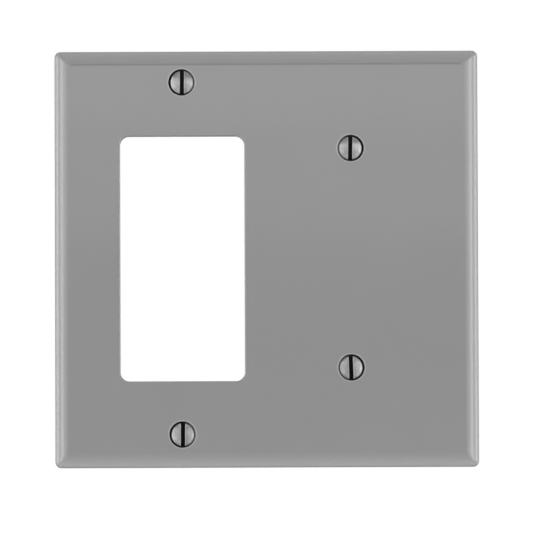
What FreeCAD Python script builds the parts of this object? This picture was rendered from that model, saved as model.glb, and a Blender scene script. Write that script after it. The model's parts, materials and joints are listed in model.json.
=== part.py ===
import FreeCAD, Part
import math
import os
import Sketcher

# A two-gang wall plate for electrical devices: the left gang has the large rectangular window of a decorator
# device, the right gang is blank. Four slotted oval-head screws hold it, and each of them is a piece of its own.
#
# The frame: the back of the plate lies in the plane Y = 0 against the wall, the face looks along -Y, +X is to
# the right for someone who looks at the face, and +Z is up. The origin is the middle of the back.

SIZES = {
    # Outline. The width is gang_spacing + 2 side_margin, the height device_hole_spacing + 2 end_margin.
    "gang_spacing": 46.04,
    "side_margin": 34.93,
    "device_hole_spacing": 96.84,
    "end_margin": 8.73,
    "plate_depth": 5.6,
    "corner_radius": 1.6,
    # Front edge: a flat crown arc that leaves the face without a step, then a tighter nose down to the side.
    "edge_band": 4.0,
    "edge_crown_radius": 5.0,
    "edge_crown_angle": 35.0,
    "back_rounding": 0.3,
    # Hollow back.
    "face_wall": 2.3,
    "side_wall": 2.0,
    "cavity_corner": 1.5,
    "cavity_fillet": 0.8,
    "strap_room": 1.5,
    "boss_diameter": 9.6,
    "rib_width": 1.3,
    "pin_mark_diameter": 5.0,
    "pin_mark_depth": 0.15,
    "pin_mark_inset": 7.5,
    # Window of the decorator gang.
    "window_width": 34.0,
    "window_height": 67.6,
    "window_corner": 2.5,
    "window_frame_wall": 1.8,
    "window_rounding": 0.35,
    # Screw holes. They stand a little outside the screws' axes, which the devices behind the plate set.
    "blank_hole_spacing": 60.33,
    "hole_shift": 0.1,
    "recess_gap": 0.45,
    "recess_wall": 0.6,
    "recess_rounding": 0.15,
    "hole_clearance": 0.3,
    "seat_clearance": 0.17,
    # Screw, 6-32 with an oval countersunk head. The length runs from the rim of the head to the tip.
    "head_diameter": 6.35,
    "head_land": 0.12,
    "crown_height": 0.72,
    "cone_angle": 82.0,
    "thread_diameter": 3.505,
    "thread_height": 0.26,
    "thread_behind": 0.3,
    "screw_length": 12.7,
    "tip_chamfer": 0.6,
    "slot_width": 1.13,
    "slot_depth": 1.25,
    # How far each slot leans from upright, clockwise for someone who looks at the face.
    "decorator_upper_lean": 0.4,
    "decorator_lower_lean": 0.4,
    "blank_upper_lean": 0.8,
    "blank_lower_lean": -2.0,
}

# Islands inside the hollow back are rooted this deep in the face wall, so that they fuse with it.
ROOT = 0.6
# Cutting profiles stand this far outside the plate, so that no cut ends flush with a face.
OVERCUT = 2.0

doc = FreeCAD.newDocument("two_gang_wall_plate")


def fill_sheet():
    """Put the driving dimensions in the spreadsheet: a name in column A, its value and alias in column B."""
    sheet = doc.addObject("Spreadsheet::Sheet", "Sizes")
    for row, (name, value) in enumerate(SIZES.items(), start=1):
        sheet.set(f"A{row}", name)
        sheet.set(f"B{row}", str(value))
        sheet.setAlias(f"B{row}", name)
    doc.recompute()


def named(expression):
    """Write the sheet's name before each alias in an expression."""
    for name in sorted(SIZES, key=len, reverse=True):
        expression = expression.replace(f"<{name}>", f"Sizes.{name}")
    return expression


def value(expression):
    """Work out the same expression in plain numbers, as the first guess for a sketch."""
    sheet = doc.getObject("Sizes")
    return float(sheet.evalExpression(named(expression)))


def origin_plane(body, role):
    """Find one of a body's own origin planes or axes."""
    for feature in body.Origin.OriginFeatures:
        if feature.Role == role:
            return feature
    raise ValueError(f"{body.Label} has no {role}")


def sketch_on(body, name, role, offset=None):
    """Start a sketch on one of the body's origin planes, moved along that plane's normal by an expression."""
    sketch = body.newObject("Sketcher::SketchObject", name)
    sketch.AttachmentSupport = [(origin_plane(body, role), "")]
    sketch.MapMode = "FlatFace"
    if offset:
        sketch.setExpression("AttachmentOffset.Base.z", named(offset))
    return sketch


def bind(sketch, name, constraint, expression):
    """Add a dimension whose value follows an expression."""
    index = sketch.addConstraint(constraint)
    sketch.renameConstraint(index, name)
    sketch.setExpression(f"Constraints.{name}", named(expression))


def feature_on(body, kind, name, profile, **settings):
    """Add a sketch-based feature to the body. Text starting with = is an expression."""
    feature = body.newObject(f"PartDesign::{kind}", name)
    feature.Profile = profile
    for key, setting in settings.items():
        if isinstance(setting, str) and setting.startswith("="):
            feature.setExpression(key, named(setting[1:]))
        else:
            setattr(feature, key, setting)
    profile.Visibility = False
    doc.recompute()
    return feature


def place_point(sketch, prefix, geometry, position, across, along):
    """Hold a point at signed distances from the sketch's origin: a minus sign goes before the expression."""
    for axis, expression in (("X", across), ("Y", along)):
        kind = f"Distance{axis}"
        if expression == "0":
            other = Sketcher.Constraint("PointOnObject", geometry, position, -2 if axis == "X" else -1)
            sketch.addConstraint(other)
        elif expression.startswith("-"):
            guess = value(expression[1:])
            constraint = Sketcher.Constraint(kind, geometry, position, -1, 1, guess)
            bind(sketch, f"{prefix}_{axis.lower()}", constraint, expression[1:])
        else:
            constraint = Sketcher.Constraint(kind, -1, 1, geometry, position, value(expression))
            bind(sketch, f"{prefix}_{axis.lower()}", constraint, expression)


def signed(expression):
    """The plain value of an expression that may start with a minus sign."""
    if expression.startswith("-"):
        return -value(expression[1:])
    return value(expression)


def signed_expression(expression):
    """The same, as an expression that the document works out."""
    if expression.startswith("-"):
        return f"-1 * ({expression[1:]})"
    return expression


def circle(sketch, prefix, across, along, diameter):
    """A circle with its centre at signed distances from the sketch's origin."""
    centre = FreeCAD.Vector(signed(across), signed(along), 0)
    shape = Part.Circle(centre, FreeCAD.Vector(0, 0, 1), value(diameter) / 2)
    index = sketch.addGeometry(shape, False)
    bind(sketch, f"{prefix}_diameter", Sketcher.Constraint("Diameter", index, value(diameter)), diameter)
    place_point(sketch, prefix, index, 3, across, along)
    return index


def rounded_rectangle(sketch, prefix, across, width, height, radius):
    """A rectangle with four equal corner arcs, centred on the sketch's X axis at a signed distance across."""
    middle = signed(across)
    half_width = value(width) / 2
    half_height = value(height) / 2
    corner = value(radius)
    reach = half_width - corner
    rise = half_height - corner
    arcs = []
    for quarter, (right, up) in enumerate(((1, 1), (-1, 1), (-1, -1), (1, -1))):
        centre = FreeCAD.Vector(middle + right * reach, up * rise, 0)
        full = Part.Circle(centre, FreeCAD.Vector(0, 0, 1), corner)
        start = quarter * math.pi / 2
        arcs.append(sketch.addGeometry(Part.ArcOfCircle(full, start, start + math.pi / 2), False))
    lines = []
    for quarter in range(4):
        first = sketch.getPoint(arcs[quarter], 2)
        second = sketch.getPoint(arcs[(quarter + 1) % 4], 1)
        lines.append(sketch.addGeometry(Part.LineSegment(first, second), False))
    for quarter in range(4):
        following = (quarter + 1) % 4
        sketch.addConstraint(Sketcher.Constraint("Tangent", arcs[quarter], 2, lines[quarter], 1))
        sketch.addConstraint(Sketcher.Constraint("Tangent", lines[quarter], 2, arcs[following], 1))
        level = "Horizontal" if quarter % 2 == 0 else "Vertical"
        sketch.addConstraint(Sketcher.Constraint(level, lines[quarter]))
    for quarter in range(1, 4):
        sketch.addConstraint(Sketcher.Constraint("Equal", arcs[0], arcs[quarter]))
    bind(sketch, f"{prefix}_radius", Sketcher.Constraint("Radius", arcs[0], corner), radius)
    span = Sketcher.Constraint("DistanceX", arcs[1], 2, arcs[0], 1, 2 * half_width)
    bind(sketch, f"{prefix}_width", span, width)
    rise_span = Sketcher.Constraint("DistanceY", arcs[3], 1, arcs[0], 2, 2 * half_height)
    bind(sketch, f"{prefix}_height", rise_span, height)
    centre_point = sketch.addGeometry(Part.Point(FreeCAD.Vector(middle, 0, 0)), True)
    symmetry = Sketcher.Constraint("Symmetric", arcs[0], 3, arcs[2], 3, centre_point, 1)
    sketch.addConstraint(symmetry)
    place_point(sketch, f"{prefix}_middle", centre_point, 1, across, "0")


def bar(sketch, prefix, left, length, middle, width):
    """A plain bar along the sketch's X axis, with the middle of its left end at a signed place."""
    x_start = signed(left)
    x_end = x_start + value(length)
    centre_height = signed(middle)
    half = value(width) / 2
    corners = (
        FreeCAD.Vector(x_start, centre_height - half, 0),
        FreeCAD.Vector(x_end, centre_height - half, 0),
        FreeCAD.Vector(x_end, centre_height + half, 0),
        FreeCAD.Vector(x_start, centre_height + half, 0),
    )
    lines = []
    for first, second in zip(corners, corners[1:] + corners[:1]):
        lines.append(sketch.addGeometry(Part.LineSegment(first, second), False))
    for side in range(4):
        following = (side + 1) % 4
        sketch.addConstraint(Sketcher.Constraint("Coincident", lines[side], 2, lines[following], 1))
        level = "Horizontal" if side % 2 == 0 else "Vertical"
        sketch.addConstraint(Sketcher.Constraint(level, lines[side]))
    thickness = Sketcher.Constraint("DistanceY", lines[0], 1, lines[3], 1, 2 * half)
    bind(sketch, f"{prefix}_width", thickness, width)
    centre_point = sketch.addGeometry(Part.Point(FreeCAD.Vector(x_start, centre_height, 0)), True)
    sketch.addConstraint(Sketcher.Constraint("Symmetric", lines[0], 1, lines[3], 1, centre_point, 1))
    place_point(sketch, f"{prefix}_left", centre_point, 1, left, middle)
    end = Sketcher.Constraint("DistanceX", lines[0], 1, lines[0], 2, x_end - x_start)
    bind(sketch, f"{prefix}_length", end, length)


def edge_profile(sketch, half_span, swap):
    """The waste outside one front edge: a crown arc, a nose arc and three lines that close it outside the plate.

    The crown arc starts on the face, tangent to it, and turns by the crown angle. The nose arc goes on from
    there and ends upright at the side. swap is True on the plane whose first axis is Y, not X.
    """
    def point(out, forward):
        """out runs to the side of the plate, forward towards the face at -Y."""
        return FreeCAD.Vector(-forward, out, 0) if swap else FreeCAD.Vector(out, -forward, 0)

    side = value(half_span)
    depth = value("<plate_depth>")
    crown = value("<edge_crown_radius>")
    angle = math.radians(value("<edge_crown_angle>"))
    band = value("<edge_band>")
    start = point(side - band, depth)
    crown_centre = point(side - band, depth - crown)
    bend_out = side - band + crown * math.sin(angle)
    bend_forward = depth - crown + crown * math.cos(angle)
    nose = (side - bend_out) / (1 - math.sin(angle))
    nose_centre = point(side - nose, bend_forward - nose * math.cos(angle))
    bend = point(bend_out, bend_forward)
    end = point(side, bend_forward - nose * math.cos(angle))
    away_side = point(side + OVERCUT, bend_forward - nose * math.cos(angle))
    away_corner = point(side + OVERCUT, depth + OVERCUT)
    away_face = point(side - band, depth + OVERCUT)

    def arc(centre, radius, first, last):
        """An arc between two points that are given in either turning direction."""
        turn_first = math.atan2(first.y - centre.y, first.x - centre.x)
        turn_last = math.atan2(last.y - centre.y, last.x - centre.x)
        low = min(turn_first, turn_last)
        high = max(turn_first, turn_last)
        if high - low > math.pi:
            low, high = high, low + 2 * math.pi
        full = Part.Circle(centre, FreeCAD.Vector(0, 0, 1), radius)
        index = sketch.addGeometry(Part.ArcOfCircle(full, low, high), False)
        gap = sketch.getPoint(index, 1).distanceToPoint(first)
        return index, (1, 2) if gap < 1e-6 else (2, 1)

    crown_arc, (crown_from, crown_to) = arc(crown_centre, crown, start, bend)
    nose_arc, (nose_from, nose_to) = arc(nose_centre, nose, bend, end)
    lines = []
    for first, second in ((end, away_side), (away_side, away_corner), (away_corner, away_face), (away_face, start)):
        lines.append(sketch.addGeometry(Part.LineSegment(first, second), False))
    sketch.addConstraint(Sketcher.Constraint("Tangent", crown_arc, crown_to, nose_arc, nose_from))
    sketch.addConstraint(Sketcher.Constraint("Coincident", nose_arc, nose_to, lines[0], 1))
    for first, second in zip(lines, lines[1:]):
        sketch.addConstraint(Sketcher.Constraint("Coincident", first, 2, second, 1))
    sketch.addConstraint(Sketcher.Constraint("Coincident", lines[3], 2, crown_arc, crown_from))
    across = ("Vertical", "Horizontal") if swap else ("Horizontal", "Vertical")
    for line, level in zip(lines, across * 2):
        sketch.addConstraint(Sketcher.Constraint(level, line))
    # The centre of the crown is straight behind its start, and the centre of the nose is level with its end.
    sketch.addConstraint(Sketcher.Constraint(across[1], crown_arc, 3, crown_arc, crown_from))
    sketch.addConstraint(Sketcher.Constraint(across[0], nose_arc, 3, nose_arc, nose_to))
    bind(sketch, "crown_radius", Sketcher.Constraint("Radius", crown_arc, crown), "<edge_crown_radius>")
    bind(sketch, "crown_angle", Sketcher.Constraint("Angle", crown_arc, angle), "<edge_crown_angle> * 1 deg")
    out_axis, forward_axis = ("DistanceY", "DistanceX") if swap else ("DistanceX", "DistanceY")
    to_side = Sketcher.Constraint(out_axis, -1, 1, nose_arc, nose_to, side)
    bind(sketch, "side", to_side, half_span)
    to_face = Sketcher.Constraint(forward_axis, crown_arc, crown_from, -1, 1, depth)
    bind(sketch, "face", to_face, "<plate_depth>")
    band_width = Sketcher.Constraint(out_axis, crown_arc, crown_from, nose_arc, nose_to, band)
    bind(sketch, "band", band_width, "<edge_band>")
    sketch.addConstraint(Sketcher.Constraint(out_axis, lines[0], 1, lines[0], 2, OVERCUT))
    sketch.addConstraint(Sketcher.Constraint(forward_axis, lines[3], 1, lines[3], 2, OVERCUT))


def edges_at(feature, test):
    """Names of the feature's edges whose points all pass a test."""
    names = []
    for number, edge in enumerate(feature.Shape.Edges, start=1):
        points = edge.discretize(5)
        if all(test(point) for point in points):
            names.append(f"Edge{number}")
    return names


def fillet(body, name, base, edges, radius):
    """Round named edges of the body's last feature."""
    if not edges:
        raise ValueError(f"{name} finds no edge to round")
    feature = body.newObject("PartDesign::Fillet", name)
    feature.Base = (base, edges)
    feature.setExpression("Radius", named(radius))
    doc.recompute()
    return feature


def mirror(body, name, original, role):
    """Repeat a feature on the other side of one of the body's origin planes."""
    feature = body.newObject("PartDesign::Mirrored", name)
    feature.Originals = [original]
    feature.MirrorPlane = (origin_plane(body, role), [""])
    body.Tip = feature
    doc.recompute()
    return feature


PLATE_WIDTH = "<gang_spacing> + 2 * <side_margin>"
PLATE_HEIGHT = "<device_hole_spacing> + 2 * <end_margin>"
CAVITY_DEPTH = "<plate_depth> - <face_wall>"
LEFT_GANG = "-<gang_spacing> / 2"
RIGHT_GANG = "<gang_spacing> / 2"
LEFT_HOLES = "-(<gang_spacing> / 2 + <hole_shift>)"
RIGHT_HOLES = "(<gang_spacing> / 2 + <hole_shift>)"
CLEARANCE_DIAMETER = "<thread_diameter> + 2 * <hole_clearance>"
RECESS_DIAMETER = "<head_diameter> + 2 * <recess_gap>"
CROSS_RIB_HEIGHT = (
    "(<window_height> / 2 + <window_frame_wall> + <device_hole_spacing> / 2 - <boss_diameter> / 2) / 2"
)


def outer_form(body):
    """The block of the plate: rounded corners, the back edge broken, and the four front edges crowned."""
    outline = sketch_on(body, "Outline", "XZ_Plane")
    rounded_rectangle(outline, "outline", "0", PLATE_WIDTH, PLATE_HEIGHT, "<corner_radius>")
    block = feature_on(body, "Pad", "Block", outline, Length="=<plate_depth>")
    back_edges = edges_at(block, lambda point: abs(point.y) < 1e-6)
    fillet(body, "BackRounding", block, back_edges, "<back_rounding>")
    for name, role, half_span, swap, across in (
        ("SideEdge", "XY_Plane", f"({PLATE_WIDTH}) / 2", False, "YZ_Plane"),
        ("EndEdge", "YZ_Plane", f"({PLATE_HEIGHT}) / 2", True, "XY_Plane"),
    ):
        profile = sketch_on(body, f"{name}Profile", role)
        edge_profile(profile, half_span, swap)
        cut = feature_on(body, "Pocket", name, profile, Type="ThroughAll", SideType="Symmetric")
        mirror(body, f"{name}Mirrored", cut, across)


def hollow_back(body):
    """The hollow behind the face, with the window's frame, the screw bosses and the ribs left standing in it."""
    inside = sketch_on(body, "Cavity", "XZ_Plane")
    cavity_width = f"{PLATE_WIDTH} - 2 * <side_wall>"
    cavity_height = f"{PLATE_HEIGHT} - 2 * <side_wall>"
    rounded_rectangle(inside, "cavity", "0", cavity_width, cavity_height, "<cavity_corner>")
    hollow = feature_on(body, "Pocket", "Hollow", inside, Length=f"={CAVITY_DEPTH}", Reversed=True)
    floor = -value(CAVITY_DEPTH)
    floor_edges = edges_at(hollow, lambda point: abs(point.y - floor) < 1e-6)
    fillet(body, "HollowFillet", hollow, floor_edges, "<cavity_fillet>")

    island_length = f"={CAVITY_DEPTH} - <strap_room> + {ROOT}"
    frame = sketch_on(body, "WindowFrame", "XZ_Plane", "<strap_room>")
    rounded_rectangle(
        frame,
        "frame",
        LEFT_GANG,
        "<window_width> + 2 * <window_frame_wall>",
        "<window_height> + 2 * <window_frame_wall>",
        "<window_corner> + <window_frame_wall>",
    )
    feature_on(body, "Pad", "WindowFramePad", frame, Length=island_length)

    bosses = sketch_on(body, "Bosses", "XZ_Plane", "<strap_room>")
    for name, across, spacing in (
        ("device", LEFT_HOLES, "<device_hole_spacing> / 2"),
        ("blank", RIGHT_HOLES, "<blank_hole_spacing> / 2"),
    ):
        circle(bosses, f"{name}_upper", across, spacing, "<boss_diameter>")
        circle(bosses, f"{name}_lower", across, f"-{spacing}", "<boss_diameter>")
    feature_on(body, "Pad", "BossPad", bosses, Length=island_length)

    reach = f"(({PLATE_WIDTH}) / 2 - <side_wall> / 2)"
    cross = sketch_on(body, "CrossRib", "XZ_Plane", "<strap_room>")
    bar(cross, "rib", f"-{reach}", f"2 * {reach}", CROSS_RIB_HEIGHT, "<rib_width>")
    cross_pad = feature_on(body, "Pad", "CrossRibPad", cross, Length=island_length)
    mirror(body, "CrossRibMirrored", cross_pad, "XY_Plane")

    blank = sketch_on(body, "BlankRib", "XZ_Plane", "<strap_room>")
    bar(blank, "rib", "0", reach, "0", "<rib_width>")
    feature_on(body, "Pad", "BlankRibPad", blank, Length=island_length)

    # The rib between the gangs stands upright, so its sketch lies on the plane that it is symmetrical about.
    between = sketch_on(body, "GangRib", "YZ_Plane")
    deepest = f"({CAVITY_DEPTH} + {ROOT})"
    bar(between, "rib", f"-{deepest}", f"{deepest} - <strap_room>", "0", f"{PLATE_HEIGHT} - <side_wall>")
    feature_on(body, "Pad", "GangRibPad", between, Length="=<rib_width>", SideType="Symmetric")


def openings(body):
    """The window, the four recessed screw holes and the round marks that the ejector pins leave."""
    window = sketch_on(body, "Window", "XZ_Plane")
    rounded_rectangle(window, "window", LEFT_GANG, "<window_width>", "<window_height>", "<window_corner>")
    cut = feature_on(body, "Pocket", "WindowCut", window, Type="ThroughAll", Reversed=True)
    face = -value("<plate_depth>")
    middle = signed(LEFT_GANG)
    half_width = value("<window_width>") / 2
    half_height = value("<window_height>") / 2

    def on_window_rim(point):
        inside_width = abs(point.x - middle) < half_width + 1e-3
        inside_height = abs(point.z) < half_height + 1e-3
        return abs(point.y - face) < 1e-6 and inside_width and inside_height

    fillet(body, "WindowRounding", cut, edges_at(cut, on_window_rim), "<window_rounding>")

    for name, across, spacing in (
        ("Device", LEFT_HOLES, "<device_hole_spacing> / 2"),
        ("Blank", RIGHT_HOLES, "<blank_hole_spacing> / 2"),
    ):
        centres = sketch_on(body, f"{name}Holes", "XZ_Plane", "<plate_depth>")
        circle(centres, "upper", across, spacing, CLEARANCE_DIAMETER)
        circle(centres, "lower", across, f"-{spacing}", CLEARANCE_DIAMETER)
        doc.recompute()
        hole = feature_on(
            body,
            "Hole",
            f"{name}HoleCut",
            centres,
            DepthType="ThroughAll",
            HoleCutType="Counterdrill",
            Diameter=f"={CLEARANCE_DIAMETER}",
            HoleCutDiameter=f"={RECESS_DIAMETER}",
            HoleCutDepth="=<recess_wall>",
            HoleCutCountersinkAngle="=<cone_angle> * 1 deg",
        )
        rim = value(RECESS_DIAMETER) / 2
        axis_x = signed(across)
        axis_z = value(spacing)

        def on_recess_rim(point):
            distance = math.hypot(point.x - axis_x, abs(point.z) - axis_z)
            return abs(point.y - face) < 1e-6 and abs(distance - rim) < 1e-3

        fillet(body, f"{name}HoleRounding", hole, edges_at(hole, on_recess_rim), "<recess_rounding>")

    marks = sketch_on(body, "PinMarks", "XZ_Plane", CAVITY_DEPTH)
    corner_x = f"(({PLATE_WIDTH}) / 2 - <side_wall> - <pin_mark_inset>)"
    corner_z = f"(({PLATE_HEIGHT}) / 2 - <side_wall> - <pin_mark_inset>)"
    number = 0
    for across in (corner_x, f"-{corner_x}"):
        for along in (corner_z, f"-{corner_z}"):
            number += 1
            circle(marks, f"corner{number}", across, along, "<pin_mark_diameter>")
    for along in ("<blank_hole_spacing> / 4", "-<blank_hole_spacing> / 4"):
        number += 1
        circle(marks, f"blank{number}", RIGHT_GANG, along, "<pin_mark_diameter>")
    feature_on(body, "Pocket", "PinMarkCut", marks, Length="=<pin_mark_depth>", Reversed=True)


def wall_plate():
    """The plate is one moulding."""
    body = doc.addObject("PartDesign::Body", "WallPlate")
    body.Label = "wall_plate"
    outer_form(body)
    hollow_back(body)
    openings(body)
    return body


# The rim of the head lies at the depth where the plate's cone is wider than the rim by the seat's clearance,
# which is more than the hole's shift.
SEAT_DEPTH = "<recess_wall> + (<recess_gap> - <seat_clearance>) / tan(<cone_angle> / 2 * 1 deg)"


def screw_profile(sketch):
    """Half the section of a screw: crown, land, cone, plain neck, thread at its outer diameter, and tip.

    The first axis is the radius and the second runs from the head to the tip, with the head's rim at zero.
    """
    head = value("<head_diameter>") / 2
    crown = value("<crown_height>")
    land = value("<head_land>")
    neck = value("<thread_diameter>") / 2 - value("<thread_height>")
    thread = value("<thread_diameter>") / 2
    length = value("<screw_length>")
    chamfer = value("<tip_chamfer>")
    slope = math.tan(math.radians(value("<cone_angle>") / 2))
    cone = (head - neck) / slope
    neck_length = "<plate_depth> - (" + SEAT_DEPTH + ") - <strap_room> + <thread_behind>"
    thread_start = value(neck_length)
    ball = (head * head + crown * crown) / (2 * crown)
    apex = -(land + crown)
    corners = (
        FreeCAD.Vector(head, -land, 0),
        FreeCAD.Vector(head, 0, 0),
        FreeCAD.Vector(neck, cone, 0),
        FreeCAD.Vector(neck, thread_start - (thread - neck), 0),
        FreeCAD.Vector(thread, thread_start, 0),
        FreeCAD.Vector(thread, length - chamfer, 0),
        FreeCAD.Vector(thread - chamfer, length, 0),
        FreeCAD.Vector(0, length, 0),
        FreeCAD.Vector(0, apex, 0),
    )
    lines = []
    for first, second in zip(corners, corners[1:]):
        lines.append(sketch.addGeometry(Part.LineSegment(first, second), False))
    centre = FreeCAD.Vector(0, apex + ball, 0)
    full = Part.Circle(centre, FreeCAD.Vector(0, 0, 1), ball)
    sweep = math.asin(head / ball)
    crown_arc = sketch.addGeometry(Part.ArcOfCircle(full, -math.pi / 2, -math.pi / 2 + sweep), False)
    for first, second in zip(lines, lines[1:]):
        sketch.addConstraint(Sketcher.Constraint("Coincident", first, 2, second, 1))
    sketch.addConstraint(Sketcher.Constraint("Coincident", crown_arc, 2, lines[0], 1))
    sketch.addConstraint(Sketcher.Constraint("Coincident", crown_arc, 1, lines[7], 2))
    for number, level in ((0, "Vertical"), (2, "Vertical"), (4, "Vertical"), (6, "Horizontal")):
        sketch.addConstraint(Sketcher.Constraint(level, lines[number]))
    # The axis carries the last line and the centre of the crown; the head's rim lies on the first axis.
    sketch.addConstraint(Sketcher.Constraint("PointOnObject", lines[7], 1, -2))
    sketch.addConstraint(Sketcher.Constraint("PointOnObject", lines[7], 2, -2))
    sketch.addConstraint(Sketcher.Constraint("PointOnObject", crown_arc, 3, -2))
    sketch.addConstraint(Sketcher.Constraint("PointOnObject", lines[0], 2, -1))
    head_radius = Sketcher.Constraint("DistanceX", -1, 1, lines[0], 2, head)
    bind(sketch, "head_radius", head_radius, "<head_diameter> / 2")
    bind(sketch, "land", Sketcher.Constraint("DistanceY", lines[0], 1, lines[0], 2, land), "<head_land>")
    rise = Sketcher.Constraint("DistanceY", crown_arc, 1, crown_arc, 2, crown)
    bind(sketch, "crown", rise, "<crown_height>")
    neck_radius = Sketcher.Constraint("DistanceX", -1, 1, lines[2], 1, neck)
    bind(sketch, "neck_radius", neck_radius, "<thread_diameter> / 2 - <thread_height>")
    cone_length = Sketcher.Constraint("DistanceY", -1, 1, lines[2], 1, cone)
    cone_rule = "(<head_diameter> / 2 - <thread_diameter> / 2 + <thread_height>) / tan(<cone_angle> / 2 * 1 deg)"
    bind(sketch, "cone", cone_length, cone_rule)
    runout = Sketcher.Constraint("DistanceY", lines[3], 1, lines[3], 2, thread - neck)
    bind(sketch, "runout", runout, "<thread_height>")
    start = Sketcher.Constraint("DistanceY", -1, 1, lines[3], 2, thread_start)
    bind(sketch, "thread_start", start, neck_length)
    thread_radius = Sketcher.Constraint("DistanceX", -1, 1, lines[4], 1, thread)
    bind(sketch, "thread_radius", thread_radius, "<thread_diameter> / 2")
    total = Sketcher.Constraint("DistanceY", -1, 1, lines[6], 1, length)
    bind(sketch, "length", total, "<screw_length>")
    tip_width = Sketcher.Constraint("DistanceX", lines[5], 2, lines[5], 1, chamfer)
    bind(sketch, "tip_width", tip_width, "<tip_chamfer>")
    tip_length = Sketcher.Constraint("DistanceY", lines[5], 1, lines[5], 2, chamfer)
    bind(sketch, "tip_length", tip_length, "<tip_chamfer>")


def screw(label, across, along, lean):
    """One screw, turned from its section, with the driver's slot cut across the head."""
    body = doc.addObject("PartDesign::Body", label.title().replace("_", ""))
    body.Label = label
    section = sketch_on(body, f"{body.Name}Section", "XY_Plane")
    screw_profile(section)
    doc.recompute()
    turned = body.newObject("PartDesign::Revolution", f"{body.Name}Turned")
    turned.Profile = section
    turned.ReferenceAxis = (section, ["V_Axis"])
    turned.Angle = 360
    section.Visibility = False
    doc.recompute()
    slot = sketch_on(body, f"{body.Name}Slot", "XZ_Plane", "<head_land> + <crown_height>")
    half_head = f"(<head_diameter> / 2 + {OVERCUT})"
    slot_outline(slot, half_head)
    feature_on(body, "Pocket", f"{body.Name}SlotCut", slot, Length="=<slot_depth>")
    body.Placement = FreeCAD.Placement(FreeCAD.Vector(0, 0, 0), FreeCAD.Rotation(FreeCAD.Vector(0, 1, 0), 1))
    body.setExpression("Placement.Base.x", named(signed_expression(across)))
    body.setExpression("Placement.Base.y", named(f"{SEAT_DEPTH} - <plate_depth>"))
    body.setExpression("Placement.Base.z", named(signed_expression(along)))
    body.setExpression("Placement.Rotation.Angle", named(f"<{lean}> * 1 deg"))
    doc.recompute()
    return body


def slot_outline(sketch, half_length):
    """The upright outline of the slot, centred on the screw's axis."""
    half = value("<slot_width>") / 2
    reach = value(half_length)
    corners = (
        FreeCAD.Vector(-half, -reach, 0),
        FreeCAD.Vector(half, -reach, 0),
        FreeCAD.Vector(half, reach, 0),
        FreeCAD.Vector(-half, reach, 0),
    )
    lines = []
    for first, second in zip(corners, corners[1:] + corners[:1]):
        lines.append(sketch.addGeometry(Part.LineSegment(first, second), False))
    for side in range(4):
        following = (side + 1) % 4
        sketch.addConstraint(Sketcher.Constraint("Coincident", lines[side], 2, lines[following], 1))
        level = "Horizontal" if side % 2 == 0 else "Vertical"
        sketch.addConstraint(Sketcher.Constraint(level, lines[side]))
    sketch.addConstraint(Sketcher.Constraint("Symmetric", lines[0], 1, lines[2], 1, -1, 1))
    bind(sketch, "width", Sketcher.Constraint("DistanceX", lines[0], 1, lines[0], 2, 2 * half), "<slot_width>")
    height = Sketcher.Constraint("DistanceY", lines[1], 1, lines[1], 2, 2 * reach)
    bind(sketch, "height", height, f"2 * {half_length}")


def check(bodies):
    """Stop on any failed object, open or invalid shape, loose solid, or feature that changes nothing."""
    for item in doc.Objects:
        for state in ("Invalid", "Error"):
            if state in item.State:
                raise RuntimeError(f"{item.Label} is {state}")
        if item.TypeId == "Sketcher::SketchObject" and not item.FullyConstrained:
            raise RuntimeError(f"{item.Label} is not fully constrained")
        adds = item.TypeId in ("PartDesign::Pad", "PartDesign::Revolution")
        cuts = item.TypeId in ("PartDesign::Pocket", "PartDesign::Hole")
        base = getattr(item, "BaseFeature", None)
        if base is not None and (adds or cuts):
            growth = item.Shape.Volume - base.Shape.Volume
            if (adds and growth <= 0) or (cuts and growth >= 0):
                raise RuntimeError(f"{item.Label} changes the volume by {growth:.3f}")
    for body in bodies:
        shape = body.Shape
        if shape.isNull() or not shape.isValid() or len(shape.Solids) != 1:
            raise RuntimeError(f"{body.Label} is not one valid solid")


fill_sheet()
pieces = [
    wall_plate(),
    screw("decorator_screw_upper", LEFT_GANG, "<device_hole_spacing> / 2", "decorator_upper_lean"),
    screw("decorator_screw_lower", LEFT_GANG, "-<device_hole_spacing> / 2", "decorator_lower_lean"),
    screw("blank_screw_upper", RIGHT_GANG, "<blank_hole_spacing> / 2", "blank_upper_lean"),
    screw("blank_screw_lower", RIGHT_GANG, "-<blank_hole_spacing> / 2", "blank_lower_lean"),
]
doc.recompute()
check(pieces)

os.makedirs("parts", exist_ok=True)
for piece in pieces:
    piece.Shape.exportStep(f"parts/{piece.Label}.step")
    box = piece.Shape.BoundBox
    print(f"{piece.Label}: {box.XLength:.3f} x {box.YLength:.3f} x {box.ZLength:.3f} mm,", end=" ")
    print(f"{piece.Shape.Volume:.2f} mm3, from ({box.XMin:.3f}, {box.YMin:.3f}, {box.ZMin:.3f})")
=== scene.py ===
"""Wall plate with a decorator window, a blank gang and four slotted screws.

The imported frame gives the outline, the mounts and the bodies. The plate and the screws are surfaces worked
out with numpy in the frame's own axes: -Y out of the wall, +X to the right, +Z up. Lengths are in metres.
"""

import json
import math

import bmesh
import bpy
import numpy as np
from mathutils import Matrix, Vector
from mathutils.geometry import delaunay_2d_cdt


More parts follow.
